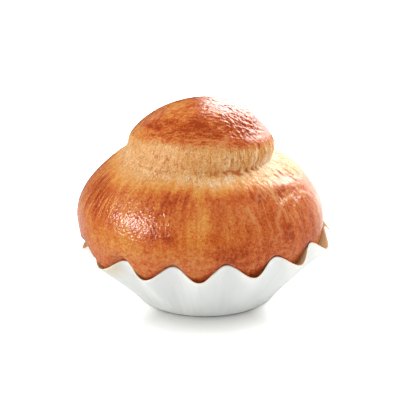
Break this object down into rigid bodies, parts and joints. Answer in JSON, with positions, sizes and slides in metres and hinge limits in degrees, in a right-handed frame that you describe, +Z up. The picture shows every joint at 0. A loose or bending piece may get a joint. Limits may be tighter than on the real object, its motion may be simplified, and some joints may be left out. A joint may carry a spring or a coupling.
{
  "type": "brioche a tete",
  "caption": "Round glazed brioche with a domed topknot, set in a flared fluted paper baking case with a flat bottom.",
  "frame": {"origin": "centre of the paper case's flat underside", "axes": "+Z up through the head, -Y towards the viewer, +X to the viewer's right"},
  "size_m": [0.0939, 0.0925, 0.0734],
  "materials": {
    "crust": "egg-washed golden brown crust, glossy on the head",
    "paper": "white greaseproof paper"
  },
  "bodies": {
    "root": {"brioche": "crust", "paper_case": "paper"}
  },
  "joints": []
}
